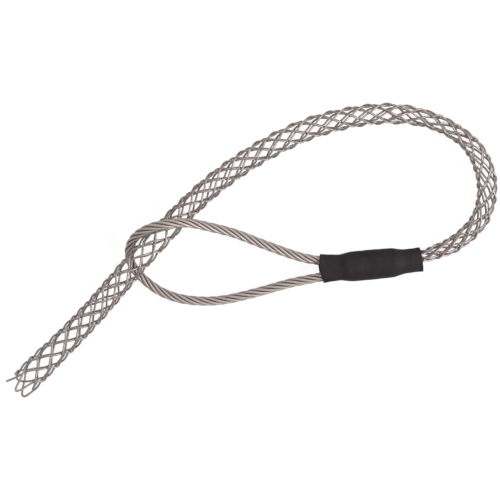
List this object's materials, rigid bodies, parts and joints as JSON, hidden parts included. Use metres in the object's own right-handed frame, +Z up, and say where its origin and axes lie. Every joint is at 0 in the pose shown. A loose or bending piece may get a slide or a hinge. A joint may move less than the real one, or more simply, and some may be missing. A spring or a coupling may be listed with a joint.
{
  "type": "cable pulling grip",
  "caption": "Woven steel mesh sleeve that tightens on a cable, joined under black heat-shrink to a flexible wire rope pulling eye, lying in a loop.",
  "frame": {"origin": "on the floor, under the middle of the heat-shrink sleeve", "axes": "+Z up from the floor; +X roughly along the sleeve from the eye towards the mesh; +Y to the side on which the mesh arches away"},
  "size_m": [0.2939, 0.1774, 0.0223],
  "materials": {
    "mesh_steel": "bright galvanised strand, warm grey",
    "rope_steel": "bright galvanised wire rope, warm grey",
    "ferrule_metal": "pressed, plain",
    "heat_shrink": "matte black polyolefin heat-shrink"
  },
  "bodies": {
    "root": {"mesh_strand_1_free_end": "mesh_steel", "mesh_strand_1_short_end": "mesh_steel", "mesh_strand_2": "mesh_steel", "mesh_strand_3": "mesh_steel", "mesh_strand_4": "mesh_steel", "mesh_strand_5": "mesh_steel", "eye_rope": "rope_steel", "ferrule": "ferrule_metal", "heat_shrink_sleeve": "heat_shrink"}
  },
  "joints": []
}
